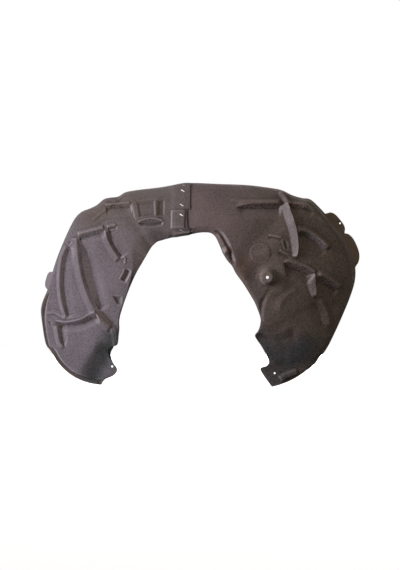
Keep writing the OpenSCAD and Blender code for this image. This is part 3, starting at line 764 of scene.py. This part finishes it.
def felt_facts(u, row, x, z, way):
    """What the felt's finish needs to know at every point: crests, slopes, edges and marks."""
    east, west = relief(x + FACT_REACH, z), relief(x - FACT_REACH, z)
    north, south = relief(x, z + FACT_REACH), relief(x, z - FACT_REACH)
    crest = relief(x, z) - (east + west + north + south) / 4
    faces_down = (north - south) / (2 * FACT_REACH)
    faces_right = (west - east) / (2 * FACT_REACH)
    on_face = row < 3
    marked = 1 - ease(row - 2.5)
    share = np.clip(way / face_width(u), 0, 1.2)
    on_front = grown(u, *TURNED) * (u < SEAM_STATION)
    # Several facts carry painted light and shade: lit and rim make walls that look left and the rim lighter,
    # crest lightens crests and darkens creases, and the right-facing slopes, strips, turned surfaces and dark
    # marks darken or brown the felt.
    return {
        "crest": np.maximum(crest, CREASE) * on_face,
        "from_edge": np.where(on_face, way, FAR_FROM_EDGE),
        "damp_and_shade": marks(DAMP_AND_SHADE_MARKS, x, z, 0) * marked,
        "brown_shade_strip": marks(BROWN_SHADE_STRIPS, x, z, 0.5) * marked,
        "under": grown(faces_down, *DOWN) * on_face,
        "right_slope_shade": grown(faces_right, *RIGHT) * on_face,
        "lit": grown(-faces_right, *LEFT) * on_face,
        "rim": (row >= 4) * 1.0,
        "turned": on_front * np.maximum(0.6 * (row < 1), grown(share, *NEAR_SHOULDER)),
    }


# %% Closed sheet
def mesh_of(name, points, faces):
    mesh = bpy.data.meshes.new(name)
    mesh.from_pydata(np.asarray(points).tolist(), [], faces)
    mesh.update()
    return mesh


def sheet_mesh(name, stations, lap_lift, left_out=None):
    """A closed mesh of the sheet without the cells that left_out names, with the felt's facts."""
    u, row = np.meshgrid(stations, row_numbers(), indexing="ij")
    (outer, wheel), flat_x, flat_z, way = loft(u, row, lap_lift)
    m, n = u.shape
    number = np.arange(m * n).reshape(m, n)
    kept = np.ones((m - 1, n - 1), bool)
    if left_out is not None:
        kept &= ~left_out(u, row, outer[..., 2])[:-1, :-1]
    a, b, c, d = number[:-1, :-1], number[1:, :-1], number[1:, 1:], number[:-1, 1:]
    back = m * n
    quads = [np.stack([a, b, c, d], -1)[kept], np.stack([d, c, b, a], -1)[kept] + back]
    framed = np.pad(kept, 1)
    sides = [
        (kept & ~framed[1:-1, :-2], a, b), (kept & ~framed[1:-1, 2:], c, d),
        (kept & ~framed[:-2, 1:-1], d, a), (kept & ~framed[2:, 1:-1], b, c),
    ]
    for open_side, first, second in sides:
        f, s = first[open_side], second[open_side]
        quads.append(np.stack([s, f, f + back, s + back], -1))
    quads = np.concatenate(quads)
    points = np.concatenate([outer.reshape(-1, 3), wheel.reshape(-1, 3)]) * MM
    used = np.unique(quads)
    renumber = np.full(len(points), -1)
    renumber[used] = np.arange(len(used))
    mesh = mesh_of(name, points[used], renumber[quads].tolist())
    for fact, values in felt_facts(u, row, flat_x, flat_z, way).items():
        layer = mesh.attributes.new(fact, "FLOAT", "POINT")
        layer.data.foreach_set("value", np.tile(values.reshape(-1), 2)[used].astype(np.float32))
    return mesh


print("rows across a sheet", len(row_numbers()))

# %% [markdown]
# ## Two sections
# The front section is the upper sheet of the lap. It steps up by one felt and a small gap just before the
# rear one begins, and its edge jogs back between two heights, as the real seam does.

# %% Front and rear sheets
JOGGLE = CAD_COLUMN
JOG = {"from": 43.6 * CAD_COLUMN, "low": 146, "high": 203}
FRONT_COLUMNS = 330
REAR_COLUMNS = 345


def lap_lift(u):
    return (FELT + LAP_CLEAR) * ease((u - LAP_STATION + JOGGLE) / JOGGLE)


def no_lift(u):
    return np.zeros_like(u)


def jog_gap(u, row, z):
    return (u >= JOG["from"]) & (z > JOG["low"]) & (z < JOG["high"]) & (row < 2)


front_stations = np.linspace(0, SEAM_STATION, FRONT_COLUMNS)
rear_stations = np.linspace(LAP_STATION, LAST_STATION, REAR_COLUMNS)
front_mesh = sheet_mesh("front_felt", front_stations, lap_lift, jog_gap)
rear_mesh = sheet_mesh("rear_felt", rear_stations, no_lift)
print("front", len(front_mesh.polygons), "faces, rear", len(rear_mesh.polygons), "faces")

# %% [markdown]
# ## The boss and the holes
# The round boss is a drawn cup that holds the liner off the body. Spinning its profile gives a clean top and
# an even rounding, and its foot follows the slanted seat. Booleans cut the felt away under the cup and drill
# the holes, so every hole is open from both sides.

# %% Cup and cutters
BORE_R = 4.5
FOOT_BURY = 0.7
SPOKES = 96
CUP_CUT = 1.2


def outward(mesh):
    """Turns the faces of a closed mesh outwards, by the sign of its volume."""
    mesh.calc_loop_triangles()
    points = np.array([v.co for v in mesh.vertices])
    corners = points[np.array([t.vertices for t in mesh.loop_triangles])]
    volume = np.einsum("ij,ij->i", corners[:, 0], np.cross(corners[:, 1], corners[:, 2])).sum() / 6
    if volume < 0:
        mesh.flip_normals()


def ring_mesh(name, rings, closed=False):
    """Joins rings of equal count into a skin, closed on itself or capped at its two ends."""
    count = len(rings[0])
    faces = []
    for i in range(len(rings) if closed else len(rings) - 1):
        for j in range(count):
            here, there = i * count, (i + 1) % len(rings) * count
            k = (j + 1) % count
            faces.append([here + j, here + k, there + k, there + j])
    if not closed:
        faces.append(list(range(count))[::-1])
        faces.append([(len(rings) - 1) * count + j for j in range(count)])
    mesh = mesh_of(name, np.concatenate(rings) * MM, faces)
    outward(mesh)
    return mesh


turn = np.linspace(0, 2 * np.pi, SPOKES, endpoint=False)
spoke_x, spoke_z = np.cos(turn), np.sin(turn)


def ring(radius, y):
    return np.stack([radius * spoke_x, y + 0 * turn, radius * spoke_z], -1)


def cone_ring(part, back, shrink, drop):
    """A ring on the cone, part of the way down from the drop to the foot."""
    y = drop + (boss_foot(spoke_x, spoke_z, back)[1] - drop) * part
    return ring(BOSS_R + BOSS_TAPER * (y - drop) / BOSS_SEAT[0] - shrink, y)


ROUNDING = 2.6
CUP_WALL = 2.25
foot_back = (FELT - FOOT_BURY) * SEAT_SLANT
rounded = [
    ring(BOSS_R - ROUNDING + ROUNDING * math.sin(a), ROUNDING * (1 - math.cos(a)))
    for a in np.radians([0, 18, 36, 54, 72])
]
cup_rings = [ring(BORE_R, 0.4), ring(BORE_R + 0.4, 0)] + rounded
cup_rings += [cone_ring(part, foot_back, 0, 0) for part in (0.15, 0.4, 0.7, 1)]
cup_rings += [cone_ring(part, foot_back, CUP_WALL, FELT) for part in (1, 0.7, 0.4, 0.12)]
cup_rings += [ring(BOSS_R - CUP_WALL - 2, FELT), ring(BORE_R + 0.4, FELT), ring(BORE_R, FELT - 0.4)]
cup_mesh = ring_mesh("boss_cup", cup_rings, closed=True)
print("rings of the cup", len(cup_rings))


TAB_HOLE_R = 2.75
TOE_HOLE = (-463, -266, 5, 85)
TIP_HOLE = (23, -287, 20, 100)
RIM_HOLE = (230, 167, 265, 305)


def drill(x, z, y_from, y_to):
    rings = [ring(TAB_HOLE_R, y) + np.array([x, 0, z]) for y in (y_from, y_to)]
    return ring_mesh("drill", rings)


def joined(meshes):
    parts = [new_object("cutters", mesh) for mesh in meshes]
    with bpy.context.temp_override(active_object=parts[0], selected_editable_objects=parts):
        bpy.ops.object.join()
    return parts[0]


def apply_modifiers(obj):
    """Keeps what the modifiers of an object make as its plain mesh."""
    bpy.context.view_layer.update()
    result = bpy.data.meshes.new_from_object(obj.evaluated_get(bpy.context.evaluated_depsgraph_get()))
    obj.modifiers.clear()
    obj.data = result


def carve(target, cutter, operation="DIFFERENCE"):
    """Applies one boolean and removes its cutter."""
    change = target.modifiers.new("carve", "BOOLEAN")
    change.operation = operation
    change.object = cutter
    change.solver = "EXACT"
    apply_modifiers(target)
    bpy.data.objects.remove(cutter)


CUP_ROOM_BACK = 12
front = new_object("front_felt", front_mesh)
rear = new_object("rear_felt", rear_mesh)
carve(front, new_object("drill", drill(*TOE_HOLE)))
cup_room = [ring(BOSS_R - CUP_CUT, 0), cone_ring(1, CUP_ROOM_BACK, CUP_CUT, 0)]
cutters = [ring_mesh("cup_room", cup_room), drill(*TIP_HOLE), drill(*RIM_HOLE)]
carve(rear, joined(cutters))
carve(rear, new_object("boss_cup", cup_mesh), "UNION")
print("front", len(front.data.polygons), "faces, rear", len(rear.data.polygons), "faces")

# %% [markdown]
# ## Needle felt
# The felt is a mat of short black and grey fibres, needled together and then pressed hot. Close up it is a
# speckle of light fibre ends over dark gaps, a little directional. From a step away it is mottled, and darker
# and smoother within a few millimetres of the cut-out edge. Crests are lighter as a painted highlight and
# creases darker as painted shade. Walls that look left are paler as painted light, and walls that look right
# and strips along the outline are browner as painted shade. The front section is grey and the rear one
# brown, and each goes from a cooler colour on the left to a browner one on the right, partly its own tone
# and partly painted light and shade. Dark marks at the two tips are partly road damp and partly painted
# shade, the other dark marks are painted shade, and the rim is painted lighter. Noise at five sizes gives
# the speckle, and facts stored on the mesh tell the finish where each of these places is.

# %% Felt finish
FACTS = ("crest", "from_edge", "damp_and_shade", "brown_shade_strip", "under", "right_slope_shade", "lit", "rim", "turned")
# Scale, detail and roughness of each noise. The fibres are stretched upwards.
FIBRES = (1500, 2, 0.7, (1, 1, 0.35))
TUFTS = (420, 3, 0.65)
MOTTLE = (170, 3, 0.6)
PATCHES = (28, 3, 0.6)
CLOUD = (9, 2, 0.5)
# A brown that stands in for painted shade on walls that look right and on the strips.
SHADE_BROWN = (0.72, 0.64, 0.52, 1)
# A pale cool colour for painted light on walls that look left.
PAINTED_LIT_WALL = (0.154, 0.136, 0.145, 1)
# A darker felt colour for the cut-out edge.
EDGE_DARK_FELT = (0.05, 0.045, 0.045, 1)
EDGE_DARK_REACH = 7


def felt_finish(name, look):
    """Felt whose colour and grain go from left to right between two places, leaning with height."""
    felt = Finish(name, {"Specular IOR Level": 0.12, "Sheen Weight": 0.12, "Sheen Roughness": 0.6})
    place = felt.step("TexCoord", "Object")
    parts = felt.node("ShaderNodeSeparateXYZ", {}, {"Vector": place})
    moved = {"Vector": place, "Location": (look["seed"],) * 3}
    shifted = felt.step("Mapping", "Vector", moved)
    fibres, tufts, mottle, patches, cloud = (
        felt.noise(shifted, *grain) for grain in (FIBRES, TUFTS, MOTTLE, PATCHES, CLOUD)
    )
    crest, from_edge, damp_and_shade, brown_shade_strip, under, right_slope_shade, lit, rim, turned = (
        felt.step("Attribute", "Fac", attribute_name=fact) for fact in FACTS
    )
    # From left to right the colour goes from a cooler tone to a browner one: partly the felt's own tone,
    # partly painted light on the lit left and painted shade on the right. Turned surfaces near the shoulder
    # and at the return take more of the right-hand colour, as painted shade.
    along = parts["X"] + parts["Z"] * look["lean"]
    first_x, last_x = look["between"]
    across = ((along - first_x) / (last_x - first_x) + turned * 0.8).limited()
    ground = felt.colours(across, look["left"], look["right"])
    # Walls that look right and the strips are painted browner: painted shade.
    shade_brown_tint = felt.colours((right_slope_shade * 0.6 + brown_shade_strip).limited(), grey(1), SHADE_BROWN)
    shade_browned = felt.colours(1.0, ground, shade_brown_tint, "MULTIPLY")
    # Dark marks: painted shade, and at the two tips partly damp and partly painted shade.
    damp_and_shade_dark = (damp_and_shade * (0.8 + patches * 1.3 + tufts)).limited()
    # Walls that look left are painted paler and cooler: painted light.
    painted_lit = felt.colours(lit * 0.7, shade_browned, PAINTED_LIT_WALL)
    marked = felt.colours(damp_and_shade_dark, painted_lit, look["damp_and_shade_dark"])
    first_grain, last_grain = look["grain"]
    grain = first_grain + across * (last_grain - first_grain) + damp_and_shade * 0.8
    speckle = (fibres * 0.9 + tufts * (1.1 + under * 1.3) + mottle * 0.35) * grain
    # Down-facing walls of the rear are painted darker as painted shade, and walls that look left and the rim
    # with its tabs are painted lighter as painted light.
    slopes = under * look["under"] + lit * 0.22 + rim * 0.6
    # Crests are painted lighter as a painted highlight, and creases darker as painted shade.
    lightness = (0.5 + speckle * 0.9 + cloud * 0.36 + crest * 0.8 + slopes).limited()
    mixed = felt.colours(1.0, marked, felt.colours(lightness, grey(0.1), grey(1.9)), "MULTIPLY")
    # The felt is darker and smoother within a few millimetres of the cut-out edge.
    pressed = (1 - from_edge / EDGE_DARK_REACH).limited()
    felt.shade("Base Color", felt.colours(pressed * 0.3, mixed, EDGE_DARK_FELT))
    felt.shade("Roughness", 0.93 - pressed * 0.18 - damp_and_shade_dark * 0.1)
    coarse = felt.bump(tufts + mottle * 0.4, 2.2 * MM)
    felt.shade("Normal", felt.bump(fibres, 0.7 * MM, coarse))
    return felt.material


FRONT_LOOK = {
    "left": (0.135, 0.116, 0.127, 1), "right": (0.115, 0.094, 0.090, 1), "between": (-0.54, -0.24),
    "lean": 0.3, "damp_and_shade_dark": (0.046, 0.048, 0.049, 1), "under": 0.02, "grain": (1.25, 1.2), "seed": 3,
}
# The rear's right-hand colour is lighter than its left to make up for the key lamp's fall-off: painted light.
REAR_LOOK = {
    "left": (0.128, 0.096, 0.092, 1), "right": (0.148, 0.115, 0.088, 1), "between": (-0.15, 0.25),
    "lean": 0.0, "damp_and_shade_dark": (0.058, 0.061, 0.065, 1), "under": -0.12, "grain": (1.3, 2.6), "seed": 7,
}
SHARP = math.radians(50)
for piece, name, look in ((front, "felt front", FRONT_LOOK), (rear, "felt rear", REAR_LOOK)):
    piece.data.materials.clear()
    piece.data.materials.append(felt_finish(name, look))
    piece.data.shade_smooth()
    piece.data.set_sharp_from_angle(angle=SHARP)
print("felt on both sections")

# %% [markdown]
# ## Wire staples
# Five galvanised staples hold the lap. A staple is one flat wire: crown, two legs and two clinched ends. It
# repeats, so Geometry Nodes make it: six points become a curve, its corners are bent to a radius, a flat
# profile is swept along it, and a copy goes to every place on the lap, turned to lie on the felt there.

# %% Places of the staples
# Station and row of each staple, from the lowest up.
STAPLES = ((25.95, 0.85), (25.85, 1.33), (25.85, 1.58), (25.9, 1.93), (26, 2.3))
STAPLE_SLANT = math.radians(-42)
STAPLE = {"Crown": 12.7 * MM, "Width": 2.2 * MM, "Thickness": 0.9 * MM, "Clinch": 4.5 * MM, "Bend": 0.9 * MM}
# Share of the crown's thickness that stands out of the felt.
PROUD = 0.7
STAPLE["Depth"] = (2 * FELT + LAP_CLEAR) * MM + STAPLE["Thickness"] * 0.8


def felt_outside(u, row):
    """A point on the outer face of the lapped sheet, in metres."""
    surfaces = loft(np.array([float(u)]), np.array([float(row)]), no_lift)[0]
    return surfaces[0][0] * MM


def on_lap(u, row):
    """Place, crown direction and outward direction of one staple."""
    here = felt_outside(u, row)
    across = felt_outside(u + 0.1, row) - here
    across = across / np.linalg.norm(across)
    out = np.cross(across, felt_outside(u, row + 0.02) - here)
    out = out / np.linalg.norm(out)
    up = np.cross(out, across)
    crown = across * math.cos(STAPLE_SLANT) + up * math.sin(STAPLE_SLANT)
    return here + out * (FELT + LAP_CLEAR) * MM, crown, out


places = [on_lap(*spot) for spot in STAPLES]
for here, crown, out in places:
    print("staple at", [round(float(v), 3) for v in here])

# %% Staple wire
# The highest staple has gone dull.
DULL_ABOVE = 0.265
DULL_STEEL = (0.22, 0.20, 0.19, 1)
steel = Finish("staple wire", {"Metallic": 1.0, "Specular IOR Level": 0.5})
steel_place = steel.step("TexCoord", "Object")
drawn = steel.noise(steel_place, 900, 3, 0.6, (0.3, 1, 1))
dulled = steel.noise(steel_place, 260, 3, 0.6)
height = steel.step("SeparateXYZ", "Z", {"Vector": steel_place})
worn = ((height - DULL_ABOVE) / (3 * MM)).limited()
shine = (0.5 + dulled * 1.4 - worn * 0.8).limited()
zinc = steel.colours(shine, (0.60, 0.58, 0.56, 1), (0.86, 0.83, 0.80, 1))
steel.shade("Base Color", steel.colours(worn, zinc, DULL_STEEL))
steel.shade("Roughness", (0.38 + dulled * 0.3 + drawn * 0.1).limited())
steel.shade("Normal", steel.bump(drawn, 0.05 * MM))
print("zinc on the wire")


# %% Staple tree
class GeometryTree(NodeTree):
    """A geometry tree with named sizes as its inputs."""

    family = "GeometryNode"

    def __init__(self, name, sizes):
        self.group = bpy.data.node_groups.new(name, "GeometryNodeTree")
        super().__init__(self.group)
        face = self.group.interface
        face.new_socket("Geometry", in_out="INPUT", socket_type="NodeSocketGeometry")
        self.ids = {}
        for size in sizes:
            self.ids[size] = face.new_socket(size, in_out="INPUT", socket_type="NodeSocketFloat").identifier
        face.new_socket("Geometry", in_out="OUTPUT", socket_type="NodeSocketGeometry")
        self.given = self.node("NodeGroupInput")
        self.way_out = self.nodes.new("NodeGroupOutput")

    def run(self, obj, sizes):
        """Evaluates the tree on an object and keeps the result as its plain mesh."""
        change = obj.modifiers.new("tree", "NODES")
        change.node_group = self.group
        for name, value in sizes.items():
            change[self.ids[name]] = value
        apply_modifiers(obj)


# %% Wire of one staple
EDGE_RADIUS = 0.25 * MM
BEND_PARTS = 4
EDGE_PARTS = 2

stapler = GeometryTree("stapler", list(STAPLE))
size = stapler.given
half = size["Crown"] * 0.5 - size["Thickness"] * 0.5
tuck = half - size["Clinch"]
down = 0 - size["Depth"]
corners = [(0 - tuck, down), (0 - half, down), (0 - half, 0.0), (half, 0.0), (half, down), (tuck, down)]
pick = stapler.nodes.new("GeometryNodeIndexSwitch")
pick.data_type = "VECTOR"
while len(pick.index_switch_items) < len(corners):
    pick.index_switch_items.new()
stapler.feed(pick.inputs["Index"], stapler.step("InputIndex", "Index"))
for slot_number, (x, z) in enumerate(corners):
    corner = stapler.node("ShaderNodeCombineXYZ", {}, {"X": x, "Y": 0.0, "Z": z})["Vector"]
    stapler.feed(pick.inputs[slot_number + 1], corner)
corner = Signal(stapler, pick.outputs[0])
wire = stapler.step("MeshLine", "Mesh", {"Count": len(corners)})
wire = stapler.step("SetPosition", "Geometry", {"Geometry": wire, "Position": corner})
wire = stapler.step("MeshToCurve", "Curve", {"Mesh": wire})
bends = {"Curve": wire, "Count": BEND_PARTS, "Radius": size["Bend"]}
wire = stapler.step("FilletCurve", "Curve", bends, mode="POLY")
flat = {"Width": size["Width"], "Height": size["Thickness"]}
flat = stapler.step("CurvePrimitiveQuadrilateral", "Curve", flat, mode="RECTANGLE")
edges = {"Curve": flat, "Count": EDGE_PARTS, "Radius": EDGE_RADIUS}
flat = stapler.step("FilletCurve", "Curve", edges, mode="POLY")
staple = stapler.step("CurveToMesh", "Mesh", {"Curve": wire, "Profile Curve": flat, "Fill Caps": True})

# %% Copies on the lap
crown_way, out_way = (
    stapler.step("InputNamedAttribute", "Attribute", {"Name": fact}, data_type="FLOAT_VECTOR")
    for fact in ("crown", "out")
)
turned = stapler.node(
    "FunctionNodeAxesToRotation", {"primary_axis": "Z", "secondary_axis": "X"},
    {"Primary Axis": out_way, "Secondary Axis": crown_way},
)["Rotation"]
copies = {"Points": size["Geometry"], "Instance": staple, "Rotation": turned}
copies = stapler.step("InstanceOnPoints", "Instances", copies)
real = stapler.step("RealizeInstances", "Geometry", {"Geometry": copies})
done = stapler.step("SetMaterial", "Geometry", {"Geometry": real, "Material": steel.material})
stapler.feed(stapler.way_out.inputs["Geometry"], done)

lift = STAPLE["Thickness"] * (PROUD - 0.5)
spot_mesh = mesh_of("staple_spots", [here + out * lift for here, crown, out in places], [])
for fact, k in (("crown", 1), ("out", 2)):
    layer = spot_mesh.attributes.new(fact, "FLOAT_VECTOR", "POINT")
    layer.data.foreach_set("vector", np.array([p[k] for p in places]).reshape(-1).astype(np.float32))
staples = new_object("staples", spot_mesh)
stapler.run(staples, STAPLE)
outward(staples.data)
print("staples", len(staples.data.polygons), "faces")

# %% [markdown]
# ## Floor
# A plain pale floor just under the two tips takes the shadow. Cameras see it nearly white, because part of
# its light is added only for camera rays, and what is left is real light, so the shadow stays.

# %% Floor
FLOOR_GAP = 2 * MM
FLOOR_HALF = 6
floor_z = cad_box[0][2] - FLOOR_GAP
floor_corners = [(x * FLOOR_HALF, y * FLOOR_HALF, floor_z) for x, y in ((-1, -1), (1, -1), (1, 1), (-1, 1))]
floor_mesh = mesh_of("floor", floor_corners, [[0, 1, 2, 3]])
floor = new_object("floor", floor_mesh)
pale = Finish("pale floor", {"Roughness": 0.9})
pale_ray = pale.step("LightPath", "Is Camera Ray")
pale.shade("Base Color", pale.colours(pale_ray, grey(0.12), grey(0.8)))
pale_glow = pale.step("Emission", "Emission", {"Color": grey(1), "Strength": pale_ray * 0.8})
pale_ground = Signal(pale, pale.shader.outputs["BSDF"])
both = pale.step("AddShader", "Shader", {0: pale_ground, 1: pale_glow})
pale.feed(pale.nodes["Material Output"].inputs["Surface"], both)
floor_mesh.materials.append(pale.material)
print("floor at", round(floor_z, 3), "m")

# %% [markdown]
# ## Fit to the frame
# Every piece rides on the one body and stands in for its CAD node, which is hidden.

# %% Ride and replace
for piece, node, slot_name in (
    (front, "front_section", "felt_front"),
    (rear, "rear_section", "felt_rear"),
    (staples, "seam_staples", "staple_wire"),
):
    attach(piece, "root")
    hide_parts(node)
